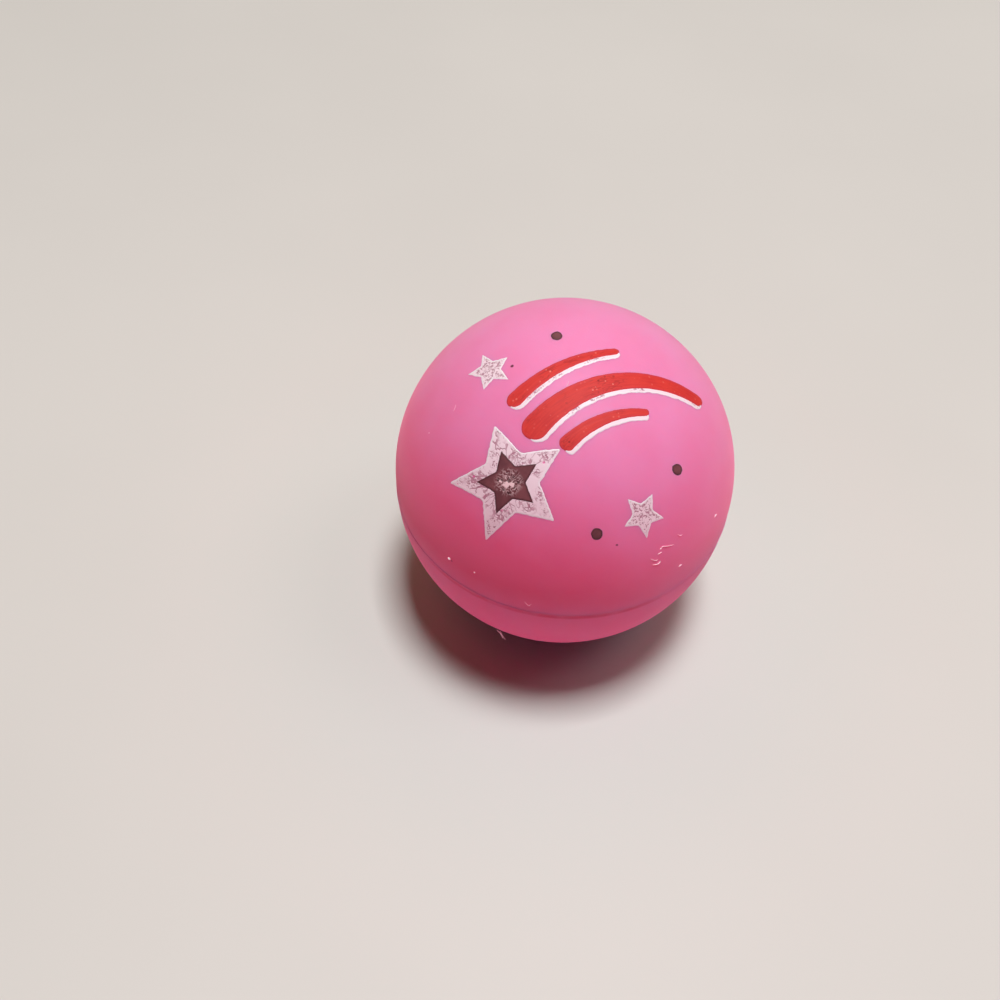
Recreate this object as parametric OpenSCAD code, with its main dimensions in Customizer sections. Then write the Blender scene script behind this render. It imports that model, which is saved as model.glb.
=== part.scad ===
/* [Ball] */
// Diameter of each moulded half
ball_d = 32; // [26:0.5:45]
// Height of the straight band between the two hemispheres
band_h = 1.2; // [0.8:0.1:2.4]
// Radius of the patch that the ball's own weight presses flat
rest_patch_r = 0.9; // [0.6:0.1:1.8]

/* [Parting line] */
// Thickness of the trimmed flash
flash_t = 0.3; // [0.2:0.05:0.5]
// How far the trimmed flash stands out of the ball
flash_proud = 0.12; // [0.06:0.01:0.3]
// How far the flash reaches into the ball
flash_root = 0.8; // [0.6:0.1:1.5]
// Depth of the groove under the flash
groove_depth = 0.16; // [0.06:0.01:0.3]
// Height of the groove under the flash
groove_h = 0.3; // [0.15:0.05:0.5]

/* [Print] */
// Angle of the print's middle above the parting line
print_rise = 59; // [48:1:68]
// Angle of the print's middle to the right of the front
print_swing = 7; // [-30:1:30]
// Thickness of the white ink
white_ink_t = 0.05; // [0.03:0.005:0.08]
// Thickness of the red ink and of the black ink
colour_ink_t = 0.05; // [0.03:0.005:0.08]

/* [Large star] */
// Radius of the large star out to its tips
star_r = 4.9; // [3.5:0.1:5.5]
// Radius of the large star's inner corners
star_notch_r = 2.5; // [1.8:0.1:3]
// Radius of the black star out to its tips
black_star_r = 2.7; // [1.8:0.1:3.2]
// Radius of the black star's inner corners
black_star_notch_r = 1.4; // [0.8:0.1:1.7]
// Distance of the large star's middle to the left of the print's middle
star_left = 5.6; // [4:0.1:7]
// Distance of the large star's middle below the print's middle
star_down = 3.6; // [2:0.1:5]
// Turn of the large star
star_turn = 14; // [0:1:72]

/* [Streaks behind the star] */
// Width of the longest streak where it starts
streak_w = 2.2; // [1.4:0.1:2.6]
// Length of the longest streak
streak_l = 15; // [9:0.5:17]
// Radius of the bend that all streaks follow
streak_bend_r = 12; // [9:0.5:20]
// Direction in which the streaks leave the star
streak_heading = 72; // [50:1:90]
// How far the white ink peeps out from under the red
streak_peep = 0.35; // [0.2:0.05:0.5]

/* [Small motifs] */
// Radius of a small star out to its tips
small_star_r = 1.9; // [1.2:0.1:2.2]
// Radius of a small star's inner corners
small_star_notch_r = 0.95; // [0.6:0.05:1.1]
// Radius of a black dot
dot_r = 0.5; // [0.3:0.05:0.7]

/* [Hidden] */
$fn = 96;

rubber_pink = "#f07cb6";
flash_pink = "#e56aa6";
ink_white = "#f3dbe2";
ink_red = "#cf3333";
ink_black = "#4d2a33";

ball_r = ball_d / 2;
dome_z = band_h / 2;
parting_z = -dome_z;
rest_patch_z = parting_z - sqrt(ball_r * ball_r - rest_patch_r * rest_patch_r);
flash_nose_r = flash_t / 2;
over = ball_d;

print_tilt = 90 - print_rise;
star_tips = 5;
streak_steps = 24;
cap_steps = 8;

// Each streak: its lane beside the longest one as a share of streak_w, its start past the middle
// of the star as a share of star_r, its length as a share of streak_l and its width as a share
// of streak_w
streak_shares = [[0, 0.98, 1, 1], [1.28, 1.12, 0.5, 0.62], [-1.28, 1.12, 0.62, 0.62]];
// How much of its width a streak keeps at its far end
streak_taper_share = 0.5;

// Middles of the small stars and their turns, as shares of ball_r and in degrees
small_star_shares = [[-0.45, 0.38, 20], [0.34, -0.38, 50]];
// Middles of the black dots, as shares of ball_r
dot_shares = [[-0.1, 0.57], [0.52, -0.14], [0.1, -0.48]];

// The middle of the streaks' bend, to the right of the heading from the star
bend_u = -star_left + streak_bend_r * sin(streak_heading);
bend_v = -star_down - streak_bend_r * cos(streak_heading);

// Corners of a star about its own middle
function star_points(tip_r, notch_r) =
    [for (i = [0 : 2 * star_tips - 1])
        let (r = i % 2 == 0 ? tip_r : notch_r, a = 90 + i * 180 / star_tips)
        [r * cos(a), r * sin(a)]];

// Degrees of the bend that a length along it spans
function bend_angle(l) = l / streak_bend_r * 180 / PI;

// A point of the bend, a distance from its middle and some degrees past the star
function bend_point(r, a) =
    [bend_u - r * sin(streak_heading - a), bend_v + r * cos(streak_heading - a)];

// Outline of one streak: out along one side, round its end, back and round its start
function streak_points(lane, start, l, w) =
    let (r = streak_bend_r + lane, a0 = bend_angle(start), a1 = bend_angle(start + l),
        w_end = w * streak_taper_share)
    concat(
        [for (i = [0 : streak_steps]) let (f = i / streak_steps)
            bend_point(r + (w + (w_end - w) * f) / 2, a0 + (a1 - a0) * f)],
        [for (i = [1 : cap_steps - 1]) let (c = i * 180 / cap_steps)
            bend_point(r + w_end / 2 * cos(c), a1 + bend_angle(w_end / 2 * sin(c)))],
        [for (i = [0 : streak_steps]) let (f = 1 - i / streak_steps)
            bend_point(r - (w + (w_end - w) * f) / 2, a0 + (a1 - a0) * f)],
        [for (i = [1 : cap_steps - 1]) let (c = i * 180 / cap_steps)
            bend_point(r - w / 2 * cos(c), a0 - bend_angle(w / 2 * sin(c)))]);

// The outlines of all streaks, moved out from the middle of the bend
module streak_outlines(shift)
    for (s = streak_shares)
        polygon(streak_points(s[0] * streak_w + shift, s[1] * star_r, s[2] * streak_l,
            s[3] * streak_w));

module small_star_outlines()
    for (s = small_star_shares)
        translate([s[0] * ball_r, s[1] * ball_r]) rotate(s[2])
            polygon(star_points(small_star_r, small_star_notch_r));

module star_outline(tip_r, notch_r)
    translate([-star_left, -star_down]) rotate(star_turn)
        polygon(star_points(tip_r, notch_r));

// A layer of ink of the outline that is given, between two heights above the dome
module ink_layer(low, high)
    translate([0, 0, dome_z]) rotate([print_tilt, 0, print_swing])
        intersection() {
            linear_extrude(height = over) children();
            difference() {
                sphere(r = ball_r + high);
                sphere(r = ball_r + low);
            }
        }

module upper_half()
    color(rubber_pink)
        difference() {
            union() {
                translate([0, 0, dome_z]) sphere(r = ball_r);
                translate([0, 0, parting_z]) cylinder(r = ball_r, h = band_h);
            }
            translate([-over, -over, parting_z - over]) cube([2 * over, 2 * over, over]);
            translate([0, 0, parting_z])
                difference() {
                    cylinder(r = over, h = flash_t);
                    cylinder(r = ball_r - flash_root, h = flash_t);
                }
        }

module lower_half()
    color(rubber_pink)
        difference() {
            translate([0, 0, parting_z]) sphere(r = ball_r);
            translate([-over, -over, parting_z]) cube([2 * over, 2 * over, over]);
            translate([-over, -over, rest_patch_z - over]) cube([2 * over, 2 * over, over]);
            translate([0, 0, parting_z])
                rotate_extrude()
                    polygon([[ball_r - groove_depth, 0], [over, 0], [over, -groove_h],
                        [ball_r, -groove_h]]);
        }

module parting_flash()
    color(flash_pink)
        translate([0, 0, parting_z])
            rotate_extrude()
                union() {
                    translate([ball_r - flash_root, 0])
                        square([flash_root + flash_proud - flash_nose_r, flash_t]);
                    translate([ball_r + flash_proud - flash_nose_r, flash_nose_r])
                        circle(r = flash_nose_r);
                }

module white_star()
    color(ink_white)
        ink_layer(0, white_ink_t) star_outline(star_r, star_notch_r);

module white_streak_base()
    color(ink_white)
        ink_layer(0, white_ink_t) streak_outlines(0);

module white_small_stars()
    color(ink_white)
        ink_layer(0, white_ink_t) small_star_outlines();

module red_streaks()
    color(ink_red)
        difference() {
            ink_layer(0, white_ink_t + colour_ink_t) streak_outlines(streak_peep);
            ink_layer(0, white_ink_t) streak_outlines(0);
        }

module black_star()
    color(ink_black)
        ink_layer(white_ink_t, white_ink_t + colour_ink_t)
            star_outline(black_star_r, black_star_notch_r);

module black_dots()
    color(ink_black)
        ink_layer(0, colour_ink_t)
            for (s = dot_shares)
                translate([s[0] * ball_r, s[1] * ball_r]) circle(r = dot_r);

upper_half();
lower_half();
parting_flash();
white_star();
white_streak_base();
white_small_stars();
red_streaks();
black_star();
black_dots();
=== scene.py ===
"""Looks of a solid moulded rubber ball with a pad-printed shooting star.

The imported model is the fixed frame. A finer surface stands for each of its nodes, worked out with
numpy on a grid of two parameters. Lengths are in metres, and in millimetres inside the materials.
The axes are the frame's own: +Z through the upper pole, and the print towards -Y and up. A profile
has the coordinates r, the distance from the Z axis, and z. The flat plate of the print has u, to
the right, and v, up the ball. Pixels are columns and rows of the photograph.
"""

import logging
import math
from dataclasses import dataclass, field, replace
from enum import Enum
from functools import partialmethod
from typing import Iterable, Optional, Union

import bmesh
import bpy
import numpy as np
from bpy.types import Material, NodeOutputs, NodeSocket, Object, World
from mathutils import Matrix, Vector


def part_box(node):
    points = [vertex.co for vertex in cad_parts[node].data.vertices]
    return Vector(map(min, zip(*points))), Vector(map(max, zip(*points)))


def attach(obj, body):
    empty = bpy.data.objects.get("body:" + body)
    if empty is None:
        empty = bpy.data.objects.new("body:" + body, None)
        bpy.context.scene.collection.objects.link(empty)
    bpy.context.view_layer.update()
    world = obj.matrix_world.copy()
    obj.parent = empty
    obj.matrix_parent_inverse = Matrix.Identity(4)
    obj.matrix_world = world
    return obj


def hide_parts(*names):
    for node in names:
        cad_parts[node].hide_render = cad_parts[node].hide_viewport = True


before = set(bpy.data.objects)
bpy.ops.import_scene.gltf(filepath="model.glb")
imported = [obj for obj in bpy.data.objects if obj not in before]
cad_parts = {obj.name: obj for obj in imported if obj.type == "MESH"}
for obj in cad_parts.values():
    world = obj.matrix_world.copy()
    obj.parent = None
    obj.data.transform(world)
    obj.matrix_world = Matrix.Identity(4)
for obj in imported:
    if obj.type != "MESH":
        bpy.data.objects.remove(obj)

LOG = logging.getLogger("bouncy_ball")
MM = 0.001
BODY = "root"
FULL_TURN = 2.0 * math.pi
TINY = 1e-9
SMOOTH = {"interpolation_type": "SMOOTHSTEP"}

Array = np.ndarray
Faces = list[Array]
Pair = tuple[float, float]
Triple = tuple[float, float, float]
Colour = Triple
Spot = tuple[Triple, float, float]

LEFT: Triple = (-1.0, 0.0, 0.0)
BACK: Triple = (0.0, 1.0, 0.0)
UP: Triple = (0.0, 0.0, 1.0)


class Slot(Enum):
    """The record's material slots."""

    RUBBER = "pink_rubber"
    WHITE = "white_ink"
    RED = "red_ink"
    BLACK = "black_ink"


def linear(red: int, green: int, blue: int) -> Colour:
    """Turns a colour as a screen shows it, from 0 to 255, into shares of linear light."""
    shown = [channel / 255.0 for channel in (red, green, blue)]
    return tuple(s / 12.92 if s <= 0.04045 else ((s + 0.055) / 1.055) ** 2.4 for s in shown)


def smooth_step(values: Array, low: float, high: float) -> Array:
    """Rises from 0 at low to 1 at high along 3 t^2 - 2 t^3."""
    t = np.clip((values - low) / (high - low), 0.0, 1.0)
    return t * t * (3.0 - 2.0 * t)


def unit(rows: Array) -> Array:
    """Each row scaled to a length of 1."""
    return rows / np.maximum(np.linalg.norm(rows, axis=-1, keepdims=True), TINY)


def circle(steps: int) -> Array:
    """Rows (cos a, sin a) of points round a circle."""
    a = np.arange(steps) * FULL_TURN / steps
    return np.stack([np.cos(a), np.sin(a)], axis=-1)


def arc(centre: Pair, radius: float, start: float, end: float, steps: int) -> Array:
    """Points (r + R cos a, z + R sin a) about a centre (r, z), between two angles in degrees."""
    a = np.radians(np.linspace(start, end, steps + 1))
    return np.stack([centre[0] + radius * np.cos(a), centre[1] + radius * np.sin(a)], axis=-1)


def around(r: Array, z: Array, ring: Array) -> Array:
    """Points (r cos a, r sin a, z) of each row of r and z, for the ring's rows (cos a, sin a)."""
    flat = r[..., None] * ring
    return np.dstack([flat, np.broadcast_to(z, flat.shape[:2])]).reshape(-1, 3)


def quads(rows: int, columns: int) -> Array:
    """Quads of the points k, k + 1, k + 1 + columns and k + columns of a grid of closed rings.

    Args:
        rows: Number of rings.
        columns: Number of points in a ring, the last of which joins the first.

    Returns:
        Rows of four corner numbers.
    """
    corner = np.arange((rows - 1) * columns)
    beside = corner - corner % columns + (corner + 1) % columns
    return np.stack([corner, beside, beside + columns, corner + columns], axis=-1)


def fan(middle: int, ring: Array) -> Array:
    """Triangles from a middle point to a closed ring, in the order that faces outwards."""
    return np.stack([np.full(len(ring), middle), ring, np.roll(ring, -1)], axis=-1)


def capped(rows: int, columns: int) -> Faces:
    """Faces of closed rings and of the lower and the upper pole, which follow the rings' points."""
    ring, count = np.arange(columns), rows * columns
    return [quads(rows, columns), fan(count, ring[::-1]), fan(count + 1, count - columns + ring)]


def turned(profile: Array, turns: int) -> tuple[Array, Faces]:
    """Turns a profile about the Z axis: a point (r, z) goes to (r cos a, r sin a, z).

    Args:
        profile: Rows of r and z from the bottom to the top, both ends on the axis.
        turns: Number of steps round the axis.

    Returns:
        The points and the faces.
    """
    rings = profile[1:-1]
    points = around(rings[:, :1], rings[:, 1:], circle(turns))
    poles = np.pad(profile[[0, -1], 1:], ((0, 0), (2, 0)))
    return np.concatenate([points, poles]), capped(len(rings), turns)


def spin(degrees: float, axis: str) -> Matrix:
    """The turn of some degrees about an axis."""
    return Matrix.Rotation(math.radians(degrees), 3, axis)


def towards(heading: float, rise: float) -> Vector:
    """The direction that lies some degrees to the right of the front and above level."""
    h, r = math.radians(heading), math.radians(rise)
    return Vector((math.sin(h) * math.cos(r), -math.cos(h) * math.cos(r), math.sin(r)))


def put(name: str, data: bpy.types.ID, matrix: Matrix = Matrix()) -> Object:
    """Puts an object into the scene.

    Args:
        name: Its name.
        data: Its mesh, camera or lamp.
        matrix: Its place and turn. A mesh holds its own, and leaves this at the origin.

    Returns:
        The new object.
    """
    made = bpy.data.objects.new(name, data)
    made.matrix_world = matrix
    bpy.context.scene.collection.objects.link(made)
    return made


@dataclass(frozen=True)
class BallFrame:
    """The ball's sizes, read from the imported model."""

    radius: float  # of each hemisphere
    dome_z: float  # of the upper hemisphere's centre
    parting_z: float  # of the parting plane, and of the lower hemisphere's centre
    flash_top: float  # height of the flash's upper face
    flash_radius: float  # how far from the axis the flash reaches
    rest_z: float  # of the patch that the ball rests on

    @classmethod
    def from_model(cls) -> "BallFrame":
        """Reads the boxes of the three rubber nodes.

        Returns:
            The sizes of the ball.
        """
        upper_low, upper_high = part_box("upper_half")
        flash_low, flash_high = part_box("parting_flash")
        lower_low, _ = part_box("lower_half")
        radius = (upper_high.x - upper_low.x) / 2.0
        return cls(
            radius=radius,
            dome_z=upper_high.z - radius,
            parting_z=upper_low.z,
            flash_top=flash_high.z,
            flash_radius=(flash_high.x - flash_low.x) / 2.0,
            rest_z=lower_low.z,
        )


@dataclass(frozen=True)
class Ripple:
    """A seeded sum of sine waves over a line, a plane or space, from -1 to 1."""

    seed: int
    shortest: float  # wavelength, in the unit of the points
    longest: float
    waves: int = 12

    def at(self, points: Array) -> Array:
        """The sum of sin(k . p + phase) over all waves, scaled and cut to stay within -1 and 1.

        Args:
            points: Array whose last axis holds the coordinates of each point.

        Returns:
            One value for each point.
        """
        draw = np.random.default_rng(self.seed)
        heading = unit(draw.normal(size=(self.waves, points.shape[-1])))
        length = draw.uniform(self.shortest, self.longest, self.waves)
        phase = draw.uniform(0.0, FULL_TURN, self.waves)
        angle = points @ (heading * (FULL_TURN / length)[:, None]).T + phase
        return np.clip(np.sin(angle).sum(axis=-1) / math.sqrt(2.0 * self.waves), -1.0, 1.0)


@dataclass
class MeshParts:
    """Closed surfaces that are gathered into one piece."""

    points: list[Array] = field(default_factory=list)
    faces: Faces = field(default_factory=list)
    values: dict[str, list[Array]] = field(default_factory=dict)  # of the points, by attribute
    count: int = 0  # of the points so far

    def add(self, points: Array, faces: Faces, **values: Array) -> "MeshParts":
        """Adds a closed surface.

        Args:
            points: Rows of x, y and z.
            faces: Arrays of corner numbers that count from this surface's first point.
            values: Attributes of the points, by name.

        Returns:
            These parts.
        """
        self.points.append(points)
        self.faces += [self.count + f for f in faces]
        for name, found in values.items():
            self.values.setdefault(name, []).append(found)
        self.count += len(points)
        return self

    def piece(self, name: str, weld: float = 0.0) -> Object:
        """Makes a smooth-shaded object whose place is in its mesh.

        Args:
            name: Name of the piece.
            weld: Distance within which points become one, or 0.

        Returns:
            The new object.
        """
        mesh = bpy.data.meshes.new(name)
        corners = sum((f.tolist() for f in self.faces), [])
        mesh.from_pydata(np.concatenate(self.points).tolist(), [], corners, shade_flat=False)
        for key, found in self.values.items():
            values = np.concatenate(found).astype(np.float32)
            kind, entry = ("FLOAT", "value") if values.ndim == 1 else ("FLOAT_VECTOR", "vector")
            mesh.attributes.new(key, kind, "POINT").data.foreach_set(entry, values.ravel())
        mesh.validate()
        if weld:
            edited = bmesh.new()
            edited.from_mesh(mesh)
            bmesh.ops.remove_doubles(edited, verts=edited.verts, dist=weld)
            edited.to_mesh(mesh)
            edited.free()
        return put(name, mesh)


class Wired:
    """A shader socket, wrapped so that Python's operators work on it."""

    def __init__(self, graph: "ShaderGraph", socket: NodeSocket) -> None:
        """Wraps a socket of the graph."""
        self.graph = graph
        self.socket = socket


class Channel(Wired):
    """A number that varies over a surface."""

    def _math(self, operation: str, *others: "Number") -> "Channel":
        """Adds a Math node of the operation, fed by this channel and then by the others."""
        settings, values = {"operation": operation}, dict(enumerate((self, *others)))
        return Channel(self.graph, self.graph.node("ShaderNodeMath", settings, values)[0])

    # What Python's operators do, each of them with one Math node
    __add__ = __radd__ = partialmethod(_math, "ADD")
    __sub__ = partialmethod(_math, "SUBTRACT")
    __mul__ = __rmul__ = partialmethod(_math, "MULTIPLY")
    __abs__ = partialmethod(_math, "ABSOLUTE")
    most = partialmethod(_math, "MAXIMUM")  # the larger of two values

    def __rsub__(self, other: float) -> "Channel":
        """Takes this channel away from a number: -1 times the channel, plus the number."""
        return self._math("MULTIPLY_ADD", -1.0, other)

    def step(self, low: float, high: float) -> "Channel":
        """Rises smoothly from 0 at low to 1 at high."""
        inputs = {"Value": self, "From Min": low, "From Max": high}
        return Channel(self.graph, self.graph.node("ShaderNodeMapRange", SMOOTH, inputs)["Result"])

    def fall(self, low: float, high: float) -> "Channel":
        """Falls smoothly from 1 at low to 0 at high."""
        return 1.0 - self.step(low, high)


Number = Union[float, Channel]


class Place(Wired):
    """A vector that varies over a surface, such as its place in millimetres."""

    def _vector(self, operation: str, inputs: dict) -> NodeOutputs:
        """Adds a Vector Math node of the operation, fed by this vector first."""
        settings = {"operation": operation}
        return self.graph.node("ShaderNodeVectorMath", settings, {0: self} | inputs)

    def _place(self, operation: str, *others: Union["Place", Triple]) -> "Place":
        """The vector that an operation gives."""
        return Place(self.graph, self._vector(operation, dict(enumerate(others, 1)))["Vector"])

    def _measure(self, operation: str, *others: Triple) -> Channel:
        """The number that an operation gives."""
        return Channel(self.graph, self._vector(operation, dict(enumerate(others, 1)))["Value"])

    __add__ = __radd__ = partialmethod(_place, "ADD")
    stretched = partialmethod(_place, "DIVIDE")  # each coordinate divided by a size of its own
    heading = partialmethod(_place, "NORMALIZE")
    length = partialmethod(_measure, "LENGTH")
    dot = partialmethod(_measure, "DOT_PRODUCT")  # the length along a direction
    distance = partialmethod(_measure, "DISTANCE")

    def __mul__(self, factor: Number) -> "Place":
        """Scales by a number or a channel."""
        return Place(self.graph, self._vector("SCALE", {"Scale": factor})["Vector"])

    __rmul__ = __mul__


class ShaderGraph:
    """The nodes of a material or of the world, whose values are written as expressions.

    The first number of a noise, of worms and of dots is a size in millimetres. The two numbers of a
    step and of a fall are the values between which a mask rises and falls.
    """

    def __init__(self, owner: Union[Material, World]) -> None:
        """Starts an empty node tree.

        Args:
            owner: What the nodes belong to.
        """
        owner.use_nodes = True
        self.owner = owner
        self.tree = owner.node_tree
        self.tree.nodes.clear()

    def node(self, kind: str, settings: dict, inputs: dict) -> NodeOutputs:
        """Adds a node, sets its settings and then fills its sockets.

        Args:
            kind: The node's type.
            settings: Its properties by name.
            inputs: Values, sockets, channels or places by the socket's name or number.

        Returns:
            The node's outputs.
        """
        made = self.tree.nodes.new(kind)
        for name, value in settings.items():
            setattr(made, name, value)
        for name, value in inputs.items():
            socket = made.inputs[name]
            source = getattr(value, "socket", value)
            if isinstance(source, NodeSocket):
                self.tree.links.new(source, socket)
            else:
                socket.default_value = (*source, 1.0) if socket.type == "RGBA" else source
        return made.outputs

    def place(self) -> Place:
        """The place on the piece in millimetres, from Object coordinates."""
        return Place(self, self.node("ShaderNodeTexCoord", {}, {})["Object"]) * (1.0 / MM)

    def number(self, name: str) -> Channel:
        """A number that the mesh holds at each point."""
        return Channel(self, self.node("ShaderNodeAttribute", {"attribute_name": name}, {})["Fac"])

    def vector(self, name: str) -> Place:
        """A vector that the mesh holds at each point."""
        return Place(self, self.node("ShaderNodeAttribute", {"attribute_name": name}, {})["Vector"])

    def seen(self, *rays: str) -> Channel:
        """1 for the kinds of ray that are named, and 0 for all others."""
        path = self.node("ShaderNodeLightPath", {}, {})
        return sum(Channel(self, path[f"Is {ray} Ray"]) for ray in rays)

    def noise(self, place: Place, size: float = 1.0, detail: float = 2.0) -> Channel:
        """Clouds of noise from 0 to 1, of a size in millimetres, with octaves of finer noise."""
        inputs = {"Vector": place, "Scale": 1.0 / size, "Detail": detail}
        return Channel(self, self.node("ShaderNodeTexNoise", {}, inputs)["Fac"])

    def worms(self, place: Place, size: float, width: float, detail: float = 1.0) -> Channel:
        """Thin winding lines, where cloudy noise comes within a width of its middle value."""
        return abs(self.noise(place, size, detail) - 0.5).fall(width * 0.35, width)

    def dots(self, place: Place, size: float, radius: float) -> Channel:
        """Round dots, one to a cell of a size, with a radius that is a share of the cell."""
        cells = self.node("ShaderNodeTexVoronoi", {}, {"Vector": place, "Scale": 1.0 / size})
        return Channel(self, cells["Distance"]).fall(radius * 0.5, radius)

    def fanned(self, plate: Place, rays: int, size: float) -> Place:
        """A place that runs round and out: direction * rays / 2 pi and, along Z, length / size."""
        out = self.node("ShaderNodeCombineXYZ", {}, {"Z": plate.length() * (1.0 / size)})[0]
        return plate.heading() * (rays / FULL_TURN) + Place(self, out)

    def spots(self, place: Place, ragged: Channel, fade: Pair, spots: Iterable[Spot]) -> Channel:
        """The largest of some spots, each of which falls from 1 to 0 across its radius.

        Args:
            place: Where to read them.
            ragged: What is added to the distance from a spot's middle.
            fade: Shares of the radius between which a spot falls.
            spots: For each spot its middle, its radius and its strength.

        Returns:
            The share of the spots.
        """
        share: Number = 0.0
        for middle, radius, strength in spots:
            gap = place.distance(middle) + ragged
            share = (gap.fall(radius * fade[0], radius * fade[1]) * strength).most(share)
        return share

    def mix(self, colour: Union[Colour, NodeSocket], *layers: tuple) -> NodeSocket:
        """Lays colours over one another.

        Args:
            colour: The lowest colour.
            layers: For each layer its share, which is a channel, and its colour.

        Returns:
            The socket of the mixed colour.
        """
        for share, over in layers:
            inputs = {"Factor": share, 6: colour, 7: over}
            colour = self.node("ShaderNodeMix", {"data_type": "RGBA"}, inputs)[2]
        return colour

    def bump(self, height: Channel, depth: float) -> NodeSocket:
        """Turns a height from 0 to 1 into a normal, for a relief of a depth in millimetres."""
        return self.node("ShaderNodeBump", {}, {"Height": height, "Distance": depth * MM})["Normal"]

    def surface(self, inputs: dict) -> Material:
        """Ends the graph in one Principled surface, whose sockets are fed by name.

        Args:
            inputs: What varies over the surface, and values that are the same all over it.

        Returns:
            The finished material.
        """
        shader = self.node("ShaderNodeBsdfPrincipled", {}, inputs)["BSDF"]
        self.node("ShaderNodeOutputMaterial", {}, {"Surface": shader})
        return self.owner


def new_material(name: str) -> ShaderGraph:
    """The empty graph of a new material."""
    return ShaderGraph(bpy.data.materials.new(name))


@dataclass(frozen=True)
class PhotoCamera:
    """The camera that took the photograph, placed from what it shows."""

    frame_px: float = 1000.0  # width and height of the photograph
    focal_px: float = 1000.0
    ball_px: Pair = (562.9, 471.8)  # where the ball's centre lies in the photograph
    rise: float = 49.8  # degrees above the parting plane
    roll: float = 6.0  # degrees about the camera's own axis
    distance: float = 96.6 * MM  # from the ball's centre
    film: float = 36.0  # width of the film, in millimetres

    def turn(self) -> Matrix:
        """Aims at the ball, then rolls, then swings so that the ball is off centre."""
        swung = self._ray(self.ball_px).rotation_difference(Vector((0.0, 0.0, -1.0)))
        return spin(90.0 - self.rise, "X") @ spin(self.roll, "Z") @ swung.to_matrix()

    def _ray(self, pixel: Pair) -> Vector:
        """The direction of a pixel in the camera's own axes."""
        x, y = (np.array(pixel) - self.frame_px / 2.0) / self.focal_px
        return Vector((x, -y, -1.0)).normalized()

    def place(self) -> Vector:
        """Where the camera stands, with the ball's centre at the origin."""
        return towards(0.0, self.rise) * self.distance

    def on_ball(self, ball: BallFrame, pixel: Pair) -> Vector:
        """The first point of the ball on a pixel's ray, or the ray's nearest point to the ball.

        Args:
            ball: The ball's sizes.
            pixel: Column and row in the photograph.

        Returns:
            The point on the upper dome, or below the parting plane on the lower one.
        """
        start = self.place()
        ray = self.turn() @ self._ray(pixel)
        for height in (ball.dome_z, ball.parting_z):
            offset = start - Vector((0.0, 0.0, height))
            along = offset.dot(ray)
            root = along * along - offset.length_squared + ball.radius ** 2
            point = start + ray * (-along - math.sqrt(max(root, 0.0)))
            if point.z > height:
                break
        return point

    def build(self) -> None:
        """Makes the camera and gives it to the scene."""
        data = bpy.data.cameras.new("photo_camera")
        data.sensor_width = data.sensor_height = self.film
        data.lens = self.film * self.focal_px / self.frame_px
        data.clip_start = MM
        matrix = Matrix.LocRotScale(self.place(), self.turn(), None)
        bpy.context.scene.camera = put("photo_camera", data, matrix)


@dataclass(frozen=True)
class SoftLamp:
    """A square studio lamp that faces the ball."""

    name: str
    heading: float  # degrees to the right of the front
    rise: float  # degrees above level
    distance: float
    width: float
    power: float  # watts
    colour: Colour

    def build(self) -> None:
        """Makes the lamp."""
        data = bpy.data.lights.new(self.name, "AREA")
        data.size, data.energy, data.color = self.width, self.power, self.colour
        out = towards(self.heading, self.rise)
        turn = out.to_track_quat("Z", "Y")
        put(self.name, data, Matrix.LocRotScale(out * self.distance, turn, None))


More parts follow.
